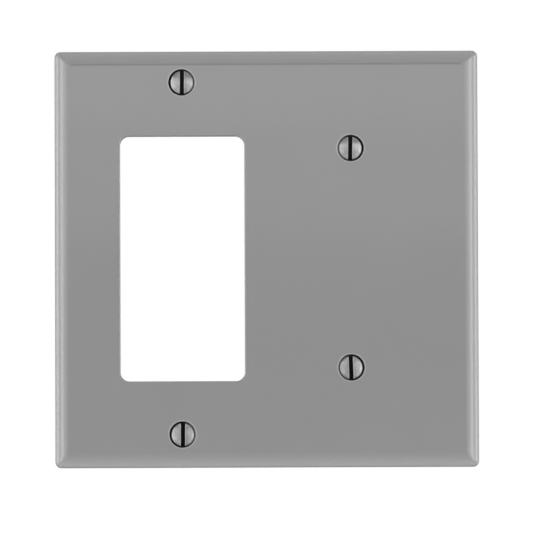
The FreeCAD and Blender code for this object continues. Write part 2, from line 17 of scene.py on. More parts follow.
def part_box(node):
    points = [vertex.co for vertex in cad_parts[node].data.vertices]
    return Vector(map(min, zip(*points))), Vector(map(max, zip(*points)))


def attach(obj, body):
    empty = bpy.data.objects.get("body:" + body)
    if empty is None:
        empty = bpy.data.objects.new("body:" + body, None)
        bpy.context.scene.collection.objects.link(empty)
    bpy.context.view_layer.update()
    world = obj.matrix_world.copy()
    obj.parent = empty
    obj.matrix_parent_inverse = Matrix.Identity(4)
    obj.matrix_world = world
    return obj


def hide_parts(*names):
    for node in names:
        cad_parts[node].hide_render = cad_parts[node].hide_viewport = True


bl_info = {
    "name": "Ganged wall plate",
    "version": (1, 0, 0),
    "blender": (4, 5, 0),
    "location": "3D View > Sidebar > Wall plate",
    "description": "Builds a moulded wall plate with its screws, its finishes and a studio round it",
    "category": "Object",
}

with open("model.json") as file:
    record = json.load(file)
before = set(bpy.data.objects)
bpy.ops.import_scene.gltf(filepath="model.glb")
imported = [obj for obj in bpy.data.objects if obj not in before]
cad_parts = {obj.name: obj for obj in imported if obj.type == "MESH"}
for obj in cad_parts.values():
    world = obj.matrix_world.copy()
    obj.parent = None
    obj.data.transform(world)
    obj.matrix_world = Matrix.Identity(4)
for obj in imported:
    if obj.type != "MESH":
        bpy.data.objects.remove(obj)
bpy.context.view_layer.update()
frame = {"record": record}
MOUNTS = {mount["name"]: mount for mount in frame["record"]["mounts"]}
PLATE_LOW, PLATE_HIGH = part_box("wall_plate")

MM = 0.001
# Points nearer than this are one point.
WELD = 2e-6
# The same for outlines that are cut into triangles, in millimetres.
SAME_POINT = 1e-4
# Faces that meet at more than the first angle show an edge. The slot's edges are steeper than the second.
SHARP_ANGLE = math.radians(38)
SLOT_EDGE_ANGLE = math.radians(40)
# The flat inner edge of the rim is rounded by this radius.
INNER_ROUNDING = 0.15 * MM
# Where the long sides of the outline and of the window have points of their own.
PLATE_BREAKS_X = np.linspace(-50, 50, 6) * MM
PLATE_BREAKS_Z = np.array([-20, 20]) * MM
WINDOW_BREAKS_X = np.linspace(-12, 12, 3) * MM
WINDOW_BREAKS_Z = np.linspace(-30, 30, 5) * MM
WINDOW_CORNER_STEPS = 12
PIN_MARK_POINTS = 48
# Points round a screw or a hole, and rings in one turn of the thread.
RING_POINTS = 72
RINGS_IN_A_TURN = 18
# Half the flat crest of the thread as a share of the pitch, and a flank's angle from a right-angled plane.
HALF_CREST = 1 / 16
FLANK_ANGLE = math.radians(30)
SCREW_PLACES = {
    "decorator_screw_upper": ("decorator_screws", 1),
    "decorator_screw_lower": ("decorator_screws", -1),
    "blank_screw_upper": ("blank_screws", 1),
    "blank_screw_lower": ("blank_screws", -1),
}


def screw_axis(node):
    """Where a screw's axis meets the wall plane, as (x, z), from the mount that it belongs to."""
    mount, side = SCREW_PLACES[node]
    x, _, z = MOUNTS[mount]["pos_m"]
    return x, z + side * MOUNTS[mount]["dims"]["spacing_y_mm"] * MM / 2


# ---------------------------------------------------------------- settings


def length(name, description, default):
    return bpy.props.FloatProperty(
        name=name, description=description, default=default, unit="LENGTH", precision=5
    )


def angle(name, description, degrees):
    return bpy.props.FloatProperty(
        name=name, description=description, default=math.radians(degrees), subtype="ANGLE"
    )


def share(name, description, default):
    return bpy.props.FloatProperty(
        name=name, description=description, default=default, min=0.0, max=1.0, subtype="FACTOR"
    )


def colour(name, description, default):
    return bpy.props.FloatVectorProperty(
        name=name, description=description, default=default, size=3, min=0.0, max=1.0, subtype="COLOR"
    )


class PlateSettings(bpy.types.PropertyGroup):
    band: length("Edge band", "Width of the rounded band round the face", 4.0 * MM)
    crown_radius: length("Crown radius", "Radius of the flat arc next to the face", 5.0 * MM)
    crown_angle: angle("Crown angle", "How far the flat arc turns before the nose begins", 35.0)
    corner: length("Corner radius", "Radius of the outline's corners", 1.6 * MM)
    mitre: length("Mitre radius", "Radius of the corners where the band meets the face", 0.4 * MM)
    back_rounding: length("Back rounding", "Radius of the outer back edge", 0.3 * MM)
    face_wall: length("Face wall", "Thickness of the face", 2.3 * MM)
    side_wall: length("Side wall", "Thickness of the rim", 2.0 * MM)
    cavity_corner: length("Hollow corner", "Radius of the corners of the hollow back", 1.5 * MM)
    strap_room: length("Strap room", "How far the bosses and ribs stay back from the wall", 1.5 * MM)
    window_width: length("Window width", "Width of the window", 34.0 * MM)
    window_height: length("Window height", "Height of the window", 67.6 * MM)
    window_corner: length("Window corner", "Radius of the window's corners", 2.5 * MM)
    window_rounding: length("Window rounding", "Radius of the window's front edge", 0.35 * MM)
    window_frame: length("Window frame", "Thickness of the wall round the window", 1.8 * MM)
    boss: length("Boss diameter", "Diameter of the bosses behind the screw holes", 9.6 * MM)
    rib: length("Rib width", "Width of the ribs", 1.3 * MM)
    pin_mark: length("Pin mark diameter", "Diameter of the ejector pins' marks", 5.0 * MM)
    pin_mark_depth: length("Pin mark depth", "Depth of the ejector pins' marks", 0.15 * MM)
    pin_mark_inset: length("Pin mark inset", "From the rim's inner wall to a corner mark", 7.5 * MM)
    hole_shift: length("Hole shift", "How far the holes stand outside the screws' axes", 0.1 * MM)
    recess: length("Recess radius", "Radius of the recess round a screw's head", 3.625 * MM)
    recess_wall: length("Recess wall", "Depth of the straight wall of the recess", 0.6 * MM)
    recess_rounding: length("Recess rounding", "Radius of the recess's front edge", 0.2 * MM)
    bore: length("Bore radius", "Radius of the clearance hole", 2.0525 * MM)
    screw_start: length("Thread start", "Where the screws' first turn begins, along Y", -1.2 * MM)


class ScrewSettings(bpy.types.PropertyGroup):
    head: length("Head radius", "Radius of the head's rim", 3.175 * MM)
    land: length("Land", "Height of the straight rim of the head", 0.12 * MM)
    crown: length("Crown", "Height of the oval crown", 0.72 * MM)
    cone: angle("Cone angle", "Full angle of the countersunk cone", 82.0)
    neck: length("Neck radius", "Radius of the plain neck", 1.4925 * MM)
    thread: length("Thread radius", "Outer radius of the thread", 1.7525 * MM)
    thread_root: length("Thread root", "Radius at the bottom of the thread", 1.27 * MM)
    pitch: length("Pitch", "Distance between two turns of the thread", 0.79375 * MM)
    length: length("Length", "From the rim of the head to the tip", 12.7 * MM)
    rim_rounding: length("Rim rounding", "Radius of the head's upper rim", 0.06 * MM)
    tip_chamfer: length("Tip chamfer", "Chamfer at the tip", 0.6 * MM)
    slot_width: length("Slot width", "Width of the driver's slot", 1.13 * MM)
    slot_depth: length("Slot depth", "Depth of the slot under the top of the crown", 1.25 * MM)
    slot_break: length("Slot edge", "Width of the broken edges of the slot", 0.07 * MM)
    lean_decorator: angle("Lean of the decorator screws", "Clockwise lean of their slots", 0.4)
    lean_blank_upper: angle("Lean of the upper blank screw", "Clockwise lean of its slot", 0.8)
    lean_blank_lower: angle("Lean of the lower blank screw", "Clockwise lean of its slot", -2.0)


class FinishSettings(bpy.types.PropertyGroup):
    plastic: colour("Plastic", "Colour of the moulding", (0.168, 0.168, 0.168))
    plastic_roughness: share("Plastic roughness", "Roughness of the moulded face", 0.18)
    # The next two colours are painted shade in the gap round each screw head: near-black on the wide outer
    # side, lighter on the narrow inner side.
    crevice: colour("Crevice", "Colour of the dust in the screw recesses", (0.02, 0.02, 0.02))
    recess_shade_narrow_side: colour("Lit crevice", "Colour of the narrow side of the recesses", (0.09, 0.09, 0.09))
    # Painted shade: how dark the line painted along the top band's inner edge is, which stands in for a dark
    # reflection.
    seam: share("Seam", "How dark the line between the top band and the face is", 0.26)
    steel: colour("Steel", "Colour of the screws", (0.22, 0.22, 0.222))
    steel_metallic: share("Steel metallic", "How metallic the screws' thin grey finish is", 0.31)
    steel_roughness: share("Steel roughness", "Roughness of the screw heads", 0.15)
    # Painted shade: the near-black colour painted deep inside the slots.
    slot_shade: colour("Dark steel", "Colour of the bottom of the slots", (0.012, 0.012, 0.012))


class StudioSettings(bpy.types.PropertyGroup):
    elevation: angle("Elevation", "Height of the camera above the plate's middle", -5.5)
    azimuth: angle("Azimuth", "Turn of the camera round the plate", 0.0)
    roll: angle("Roll", "Roll of the camera", -0.21)
    distance: length("Distance", "From the camera to the plate", 4.5)
    frame_width: length("Frame width", "Width of the view at the plate", 145.95 * MM)
    aim_x: length("Aim across", "Where the camera aims", -0.02 * MM)
    aim_z: length("Aim height", "Where the camera aims", -2.11 * MM)
    floor_drop: length("Floor drop", "From the plate's middle down to the floor", 0.9)


# ---------------------------------------------------------------- shapes


def arc(start, end, steps):
    """Evenly spaced angles from start to end in radians, both included."""
    return np.linspace(start, end, steps + 1)


def rounded_loops(half_x, half_z, radius, breaks_x, breaks_z, steps=8):
    """Rounded rectangles, one for each row of half_x, half_z and radius, as an array (rows, points, 2).

    Each corner is a quarter circle about the point one radius in from both sides. Between the corners a side
    has points at fixed places, breaks_x on the level sides and breaks_z on the upright ones, so that the same
    points of neighbouring loops lie straight across from each other.
    """
    half_x, half_z, radius = (np.atleast_1d(np.asarray(a, float))[:, None] for a in (half_x, half_z, radius))
    rows = max(half_x.shape[0], half_z.shape[0], radius.shape[0])
    half_x, half_z, radius = (np.broadcast_to(a, (rows, 1)) for a in (half_x, half_z, radius))
    breaks_x, breaks_z = np.sort(breaks_x)[::-1], np.sort(breaks_z)[::-1]
    parts = []
    for quarter, (right, up) in enumerate(((1, 1), (-1, 1), (-1, -1), (1, -1))):
        turn = arc(quarter * np.pi / 2, (quarter + 1) * np.pi / 2, steps)
        x = right * (half_x - radius) + radius * np.cos(turn)
        z = up * (half_z - radius) + radius * np.sin(turn)
        parts.append(np.stack([x, z], axis=-1))
        level = quarter % 2 == 0
        places = breaks_x if level else breaks_z
        places = places if quarter in (0, 1) else places[::-1]
        run = np.broadcast_to(places, (rows, len(places)))
        fixed = np.broadcast_to(half_z if level else half_x, (rows, len(places)))
        fixed = fixed * (up if level else right)
        parts.append(np.stack([run, fixed] if level else [fixed, run], axis=-1))
    return np.concatenate(parts, axis=1)


def circles(centre, radius, points=RING_POINTS):
    """Circles about one centre, one for each radius, as an array (rows, points, 2)."""
    turn = np.arange(points) * 2 * np.pi / points
    radius = np.atleast_1d(np.asarray(radius, float))[:, None]
    return np.stack([centre[0] + radius * np.cos(turn), centre[1] + radius * np.sin(turn)], axis=-1)


def bar_outline(x_from, x_to, z_from, z_to):
    return np.array([[x_from, z_from], [x_to, z_from], [x_to, z_to], [x_from, z_to]])


def standing(loops, height):
    """Puts flat loops at their heights along Y: (rows, points, 2) and (rows,) give (rows, points, 3)."""
    y = np.broadcast_to(np.asarray(height, float)[:, None], loops.shape[:2])
    return np.stack([loops[..., 0], y, loops[..., 1]], axis=-1)


def sleeve(grid):
    """Four-sided faces between the neighbouring rows of a grid of points whose rows close on themselves."""
    rows, columns = grid.shape[:2]
    index = np.arange(rows * columns).reshape(rows, columns)
    across = np.roll(index, -1, axis=1)
    faces = np.stack([index[:-1], across[:-1], across[1:], index[1:]], axis=-1).reshape(-1, 4)
    return grid.reshape(-1, 3), faces


def relief(outlines, level_of):
    """Flat levels with upright walls between them.

    The outlines cut the plane into triangles, each knows which outlines it lies in, and level_of turns that
    into its height along Y, or None for a hole. Where two triangles with different heights share an edge, an
    upright wall joins them.
    """
    places = np.concatenate(outlines)
    starts = np.cumsum([0] + [len(o) for o in outlines[:-1]])
    faces = [list(range(s, s + len(o))) for s, o in zip(starts, outlines)]
    scaled = [Vector(p) for p in places / MM]
    flat, _, triangles, _, _, inside = delaunay_2d_cdt(scaled, [], faces, 0, SAME_POINT)
    flat = np.array([tuple(p) for p in flat]) * MM
    levels = [level_of(set(names)) for names in inside]
    kept = [t for t, level in zip(triangles, levels) if level is not None]
    level = np.array([l for l in levels if l is not None], float)
    kept = np.array(kept, int)
    count = len(flat)
    heights = np.unique(level)
    layer = np.searchsorted(heights, level)
    points = np.concatenate([np.insert(flat, 1, h, axis=1) for h in heights])
    tops = kept + (layer * count)[:, None]
    edges = np.concatenate([kept[:, [0, 1]], kept[:, [1, 2]], kept[:, [2, 0]]])
    edge_layer = np.tile(layer, 3)
    key = edges[:, 0] * count + edges[:, 1]
    back = edges[:, 1] * count + edges[:, 0]
    order = np.argsort(key)
    found = np.searchsorted(key[order], back)
    found = np.minimum(found, len(key) - 1)
    twin = order[found]
    paired = key[twin] == back
    step = paired & (edge_layer < edge_layer[twin])
    low, high = edge_layer[step], edge_layer[twin][step]
    a, b = edges[step, 0], edges[step, 1]
    walls = np.stack([a + low * count, b + low * count, b + high * count, a + high * count], axis=-1)
    return points, tops, walls


def shade_smooth(mesh):
    mesh.polygons.foreach_set("use_smooth", np.ones(len(mesh.polygons), bool))


class Shell:
    """Collects patches of one surface, then welds them into a closed mesh that faces outwards."""

    def __init__(self):
        self.points = []
        self.faces = []
        self.count = 0

    def add(self, points, *face_arrays):
        for faces in face_arrays:
            self.faces.extend((np.asarray(faces) + self.count).tolist())
        self.points.append(points)
        self.count += len(points)

    def mesh(self, name):
        mesh = bpy.data.meshes.new(name)
        mesh.from_pydata(np.concatenate(self.points).tolist(), [], self.faces)
        work = bmesh.new()
        work.from_mesh(mesh)
        bmesh.ops.remove_doubles(work, verts=work.verts, dist=WELD)
        bmesh.ops.dissolve_degenerate(work, edges=work.edges, dist=WELD / 4)
        loose = [v for v in work.verts if not v.link_faces]
        bmesh.ops.delete(work, geom=loose, context="VERTS")
        bmesh.ops.recalc_face_normals(work, faces=work.faces)
        open_edges = sum(1 for edge in work.edges if len(edge.link_faces) != 2)
        if open_edges:
            raise RuntimeError(f"{name} has {open_edges} open or doubled edges")
        work.to_mesh(mesh)
        work.free()
        shade_smooth(mesh)
        return mesh


def finish_piece(mesh, name, body, node, material):
    """Puts a mesh in the scene as a piece that rides on a body and stands for a node of the frame."""
    mesh.name = name
    mesh.set_sharp_from_angle(angle=SHARP_ANGLE)
    piece = bpy.data.objects.new(name, mesh)
    bpy.context.scene.collection.objects.link(piece)
    mesh.materials.append(material)
    weighted = piece.modifiers.new("even_shading", "WEIGHTED_NORMAL")
    weighted.keep_sharp = True
    weighted.weight = 100
    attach(piece, body)
    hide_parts(node)
    return piece


def edge_section(s, depth):
    """The rim's section from the face round to the rim's inside: inset, height along Y and corner radius.

    The crown arc leaves the face without a step and turns by the crown angle. The nose arc goes on from there
    and ends upright. Then come the side, the rounded back edge, the flat land and a small inner rounding.
    """
    crown = arc(0, s.crown_angle, 18)
    inset = [s.band - s.crown_radius * np.sin(crown)]
    height = [-(depth - s.crown_radius + s.crown_radius * np.cos(crown))]
    nose_radius = inset[0][-1] / (1 - math.sin(s.crown_angle))
    nose = arc(s.crown_angle, math.pi / 2, 16)[1:]
    nose_height = height[0][-1] + nose_radius * math.cos(s.crown_angle)
    inset.append(nose_radius * (1 - np.sin(nose)))
    height.append(nose_height - nose_radius * np.cos(nose))
    back = arc(0, math.pi / 2, 6)
    inset.append(s.back_rounding * (1 - np.cos(back)))
    height.append(s.back_rounding * (np.sin(back) - 1))
    inner = arc(0, math.pi / 2, 4)
    inset.append(s.side_wall - INNER_ROUNDING + INNER_ROUNDING * np.sin(inner))
    height.append(INNER_ROUNDING * (np.cos(inner) - 1))
    front_rows = len(inset[0]) + len(inset[1])
    inset, height = np.concatenate(inset), np.concatenate(height)
    corner = s.mitre + (s.corner - s.mitre) * (1 - inset / s.band) ** 1.5
    corner[front_rows:] = np.interp(inset[front_rows:], [0, s.side_wall], [s.corner, s.cavity_corner])
    return inset, height, corner


def plate_mesh(s):
    """The whole moulding: rim, face, window, screw recesses and the hollow back with its bosses and ribs."""
    depth = -PLATE_LOW.y
    half_x, half_z = (PLATE_HIGH.x - PLATE_LOW.x) / 2, (PLATE_HIGH.z - PLATE_LOW.z) / 2
    window_x = MOUNTS["device_window"]["pos_m"][0]
    centres = []
    for node in SCREW_PLACES:
        x, z = screw_axis(node)
        centres.append((x + math.copysign(s.hole_shift, x), z))
    screw_z = screw_axis("decorator_screw_upper")[1]
    cross_z = (s.window_height / 2 + s.window_frame + screw_z - s.boss / 2) / 2
    half_rib = s.rib / 2
    rib_sides = np.array([-half_rib, half_rib])
    breaks_x = np.concatenate([rib_sides, PLATE_BREAKS_X])
    breaks_z = np.concatenate([rib_sides, cross_z + rib_sides, -cross_z - rib_sides, PLATE_BREAKS_Z])
    shell = Shell()

    inset, height, corner = edge_section(s, depth)
    rim = rounded_loops(half_x - inset, half_z - inset, corner, breaks_x, breaks_z)
    shell.add(*sleeve(standing(rim, height)))

    rounding = arc(math.pi / 2, 0, 6)
    out = s.window_rounding * (1 - np.cos(rounding))
    out = np.append(out, 0.0)
    down = -depth + s.window_rounding * (1 - np.sin(rounding))
    down = np.append(down, -s.strap_room)
    window = rounded_loops(
        s.window_width / 2 + out,
        s.window_height / 2 + out,
        s.window_corner + out,
        WINDOW_BREAKS_X,
        WINDOW_BREAKS_Z,
        WINDOW_CORNER_STEPS,
    )
    window[..., 0] += window_x
    shell.add(*sleeve(standing(window, down)))

    slope = math.tan(bpy.context.scene.screw_settings.cone / 2)
    lip = s.recess_rounding
    radius = np.concatenate([s.recess + lip * (1 - np.cos(rounding)), [s.recess, s.bore, s.bore]])
    cone_end = -depth + s.recess_wall + (s.recess - s.bore) / slope
    sink = np.concatenate(
        [-depth + lip * (1 - np.sin(rounding)), [-depth + s.recess_wall, cone_end, -s.strap_room]]
    )
    for centre in centres:
        shell.add(*sleeve(standing(circles(centre, radius), sink)))

    holes = [circles(c, radius[0])[0] for c in centres]
    points, tops, _ = relief([rim[0], window[0], *holes], lambda inside: -depth if inside == {0} else None)
    shell.add(points, tops)

    floor = -(depth - s.face_wall)
    frame_outline = rounded_loops(
        s.window_width / 2 + s.window_frame,
        s.window_height / 2 + s.window_frame,
        s.window_corner + s.window_frame,
        WINDOW_BREAKS_X,
        WINDOW_BREAKS_Z,
        WINDOW_CORNER_STEPS,
    )[0]
    frame_outline[:, 0] += window_x
    reach_x, reach_z = half_x - s.side_wall, half_z - s.side_wall
    bars = [bar_outline(-half_rib, half_rib, -reach_z, reach_z)]
    bars += [bar_outline(-reach_x, reach_x, z - half_rib, z + half_rib) for z in (cross_z, -cross_z)]
    bars.append(bar_outline(0, reach_x, -half_rib, half_rib))
    mark_x, mark_z = reach_x - s.pin_mark_inset, reach_z - s.pin_mark_inset
    blank_x, blank_z = screw_axis("blank_screw_upper")
    mark_places = [(x, z) for x in (mark_x, -mark_x) for z in (mark_z, -mark_z)]
    mark_places += [(blank_x, blank_z / 2), (blank_x, -blank_z / 2)]
    marks = [circles(place, s.pin_mark / 2, PIN_MARK_POINTS)[0] for place in mark_places]
    bosses = [circles(c, s.boss / 2)[0] for c in centres]
    bores = [circles(c, s.bore)[0] for c in centres]
    outlines = [rim[-1], window[-1], *bores, frame_outline, *bosses, *bars, *marks]
    first_island = 2 + len(bores)
    first_mark = first_island + 1 + len(bosses) + len(bars)

    def back_level(inside):
        if 0 not in inside or inside & set(range(1, first_island)):
            return None
        if inside & set(range(first_island, first_mark)):
            return -s.strap_room
        return floor - s.pin_mark_depth if inside & set(range(first_mark, len(outlines))) else floor

    points, tops, walls = relief(outlines, back_level)
    shell.add(points, tops, walls)
    shell.add(*hollow_wall(rim[-1], height[-1], floor, -s.strap_room, cross_z, half_rib))
    return shell.mesh("plate")


def hollow_wall(loop, top, floor, rib_top, cross_z, half_rib):
    """The inner wall of the rim: down to the ribs' level all round, and on to the floor where no rib ends."""
    after = np.roll(loop, -1, axis=0)
    middle = (loop + after) / 2
    at_cross = np.abs(np.abs(middle[:, 1]) - cross_z) < half_rib
    at_blank = (np.abs(middle[:, 1]) < half_rib) & (middle[:, 0] > 0)
    at_gang = np.abs(middle[:, 0]) < half_rib
    grid = standing(np.broadcast_to(loop, (3, *loop.shape)), [top, rib_top, floor])
    points, faces = sleeve(grid)
    count = len(loop)
    lower = faces[count:][~(at_cross | at_blank | at_gang)]
    return points, faces[:count], lower


# ---------------------------------------------------------------- screws


def shank_radius(s, y, turn, thread_start):
    """Radius of the shank at a place along the axis and a turn round it.

    A 60 degree thread: a ridge with a flat crest that climbs one pitch in each turn. It grows out of the neck
    over one pitch, and the tip's chamfer cuts it down at the end.
    """
    phase = (y / s.pitch - turn / (2 * math.pi)) % 1.0
    away = np.abs(phase - 0.5) * s.pitch
    ridge = s.thread - (away - s.pitch * HALF_CREST) / math.tan(FLANK_ANGLE)
    threaded = np.clip(ridge, s.thread_root, s.thread)
    grow = np.clip((y - thread_start) / s.pitch, 0, 1)
    body = s.neck + (threaded - s.neck) * grow
    chamfer = s.thread - np.clip(y - (s.length - s.tip_chamfer), 0, None)
    return np.minimum(body, chamfer)


def head_section(s):
    """The head's section as radius and place: a ball's cap, the rounded rim, the land and the cone."""
    ball = (s.head**2 + s.crown**2) / (2 * s.crown)
    apex = -(s.land + s.crown)
    small = s.rim_rounding
    lean = math.asin((s.head - small) / (ball - small))
    cap = arc(0, lean, 18)
    rim = arc(lean, math.pi / 2, 5)[1:]
    rim_centre = apex + ball - math.sqrt((ball - small) ** 2 - (s.head - small) ** 2)
    cone_end = (s.head - s.neck) / math.tan(s.cone / 2)
    radius = np.concatenate([ball * np.sin(cap), s.head - small + small * np.sin(rim), [s.head, s.neck]])
    place = np.concatenate([apex + ball * (1 - np.cos(cap)), rim_centre - small * np.cos(rim), [0, cone_end]])
    return radius, place


def screw_mesh(s, thread_start):
    """One screw about its own axis, with its head's rim at zero and its tip along +Y.

    Head and shank are one surface of rings whose radius varies round the thread. A block cuts the slot, whose
    upper edges are then broken.
    """
    turn = np.arange(RING_POINTS) * 2 * math.pi / RING_POINTS
    radius, place = head_section(s)
    rows = int((s.length - place[-1]) / (s.pitch / RINGS_IN_A_TURN))
    shank = np.linspace(place[-1], s.length, rows + 1)[1:]
    rings = np.broadcast_to(radius[:, None], (len(radius), RING_POINTS))
    threads = shank_radius(s, shank[:, None], turn[None, :], thread_start)
    tip = np.zeros((1, RING_POINTS))
    size = np.concatenate([rings, threads, tip])
    along = np.concatenate([place, shank, [s.length]])
    loops = np.stack([size * np.cos(turn), size * np.sin(turn)], axis=-1)
    shell = Shell()
    shell.add(*sleeve(standing(loops, along)))
    mesh = shell.mesh("screw")

    half, top = s.slot_width / 2, -(s.land + s.crown)
    bottom = top + s.slot_depth
    outline = bar_outline(-half, half, -2 * s.head, 2 * s.head)
    block = Shell()
    points, tops, _ = relief([outline], lambda inside: 0.0)
    block.add(points + [0, top - s.head, 0], tops)
    block.add(points + [0, bottom, 0], tops)
    block.add(*sleeve(standing(np.stack([outline, outline]), [top - s.head, bottom])))
    mesh = cut(mesh, block.mesh("slot_block"))
    break_slot_edges(mesh, s, half, bottom)
    return mesh


def cut(mesh, block):
    """The mesh less the block, worked out by Blender's exact boolean."""
    body, tool = (bpy.data.objects.new("cut", m) for m in (mesh, block))
    for thing in (body, tool):
        bpy.context.scene.collection.objects.link(thing)
    boolean = body.modifiers.new("slot", "BOOLEAN")
    boolean.object = tool
    boolean.operation = "DIFFERENCE"
    boolean.solver = "EXACT"
    graph = bpy.context.evaluated_depsgraph_get()
    result = bpy.data.meshes.new_from_object(body.evaluated_get(graph))
    for thing in (body, tool):
        bpy.data.objects.remove(thing)
    return result


def break_slot_edges(mesh, s, half, bottom):
    """Rounds the two long upper edges of the slot and its four ends."""
    work = bmesh.new()
    work.from_mesh(mesh)
    bmesh.ops.remove_doubles(work, verts=work.verts, dist=WELD)

    def at_side(vertex):
        return abs(abs(vertex.co.x) - half) < WELD

    edges = []
    for edge in work.edges:
        in_side = all(at_side(v) for v in edge.verts) and any(v.co.y < bottom - WELD for v in edge.verts)
        if in_side and len(edge.link_faces) == 2 and edge.calc_face_angle() > SLOT_EDGE_ANGLE:
            edges.append(edge)
    bmesh.ops.bevel(
        work,
        geom=edges,
        offset=s.slot_break,
        offset_type="OFFSET",
        segments=3,
        profile=0.5,
        affect="EDGES",
        clamp_overlap=True,
    )
    bmesh.ops.remove_doubles(work, verts=work.verts, dist=WELD / 4)
    bmesh.ops.recalc_face_normals(work, faces=work.faces)
    work.to_mesh(mesh)
    work.free()
    shade_smooth(mesh)


def keep_own_axes(mesh):
    """Stores each point's place about the screw's own axis, which the turning marks in its finish follow."""
    places = np.empty(len(mesh.vertices) * 3, np.float32)
    mesh.vertices.foreach_get("co", places)
    own = mesh.attributes.new("own_axes", "FLOAT_VECTOR", "POINT")
    own.data.foreach_set("vector", places)


# ---------------------------------------------------------------- finishes


class Maths:
    """A shader socket that takes part in ordinary expressions: each operator adds a Math node."""

    def __init__(self, tree, socket):
        self.tree = tree
        self.socket = socket

    def join(self, operation, first, second=None):
        values = [first] if second is None else [first, second]
        return self.tree.node("ShaderNodeMath", {"operation": operation}, dict(enumerate(values)))

    def __add__(self, other):
        return self.join("ADD", self, other)

    __radd__ = __add__

    def __sub__(self, other):
        return self.join("SUBTRACT", self, other)

    def __rsub__(self, other):
        return self.join("SUBTRACT", other, self)

    def __mul__(self, other):
        return self.join("MULTIPLY", self, other)

    __rmul__ = __mul__

    def __abs__(self):
        return self.join("ABSOLUTE", self)

    def root(self):
        return self.join("SQRT", self)

    def least(self, other):
        return self.join("MINIMUM", self, other)

    def ramp(self, low, high):
        """0 up to low, 1 from high on, and smooth between."""
        settings = {"interpolation_type": "SMOOTHSTEP"}
        return self.tree.node("ShaderNodeMapRange", settings, {0: self, 1: low, 2: high, 3: 0.0, 4: 1.0})


class Tree:
    """The node tree of a material or a world, with one method that adds any node."""

    def __init__(self, owner):
        owner.use_nodes = True
        self.owner = owner
        self.nodes = owner.node_tree.nodes
        self.links = owner.node_tree.links
        self.nodes.clear()

    def node(self, kind, settings=None, inputs=None, output=0):
        """Adds a node: its settings first, then the values or links of its sockets."""
        made = self.nodes.new(kind)
        for key, setting in (settings or {}).items():
            setattr(made, key, setting)
        for key, given in (inputs or {}).items():
            if isinstance(given, Maths):
                self.links.new(given.socket, made.inputs[key])
            else:
                made.inputs[key].default_value = given
        return Maths(self, made.outputs[output] if made.outputs else None)

    def noise(self, place, scale, detail=2.0):
        """Noise about zero, from -0.5 to 0.5."""
        inputs = {"Vector": place, "Scale": scale, "Detail": detail}
        return self.node("ShaderNodeTexNoise", None, inputs) - 0.5

    def split(self, vector):
        """The three parts of a vector."""
        return [self.node("ShaderNodeSeparateXYZ", None, {0: vector}, output=axis) for axis in range(3)]

    def mix(self, amount, first, second):
        """A colour between two colours."""
        return self.node(
            "ShaderNodeMix", {"data_type": "RGBA"}, {"Factor": amount, 6: first, 7: second}, output=2
        )

    def surface(self, inputs):
        """Ends a material with its shader, and hands the material back."""
        shader = self.node("ShaderNodeBsdfPrincipled", None, inputs)
        self.node("ShaderNodeOutputMaterial", None, {"Surface": shader})
        return self.owner


def direction(azimuth, elevation):
    """The unit vector from the plate to something in front of it, turned to the right and raised."""
    level = math.cos(elevation)
    return Vector((math.sin(azimuth) * level, -math.cos(azimuth) * level, math.sin(elevation)))


def scaled(tint, factor):
    """A colour of the settings times a factor, with full alpha."""
    return (*(min(1.0, part * factor) for part in tint), 1.0)


def grey(level):
    return scaled((level, level, level), 1.0)


# Scales of the noises, in cells to the metre.
CLOUD_SCALE = 45.0
SPECKLE_SCALE = 2600.0
GLOSS_SCALE = 320.0
SKIN_SCALE = 900.0
GRAIN_SCALE = 5200.0
SMUDGE_SCALE = 700.0
# The turning marks have this many cells to the millimetre of radius, and fewer along the axis.
TURNING_SCALE = 9.0
TURNING_ALONG = 0.2
# The strokes' cells to the metre across the slot, along the axis and along the slot, before their scale.
STROKES = (2600.0, 200.0, 900.0)
STROKE_SCALE = 0.8


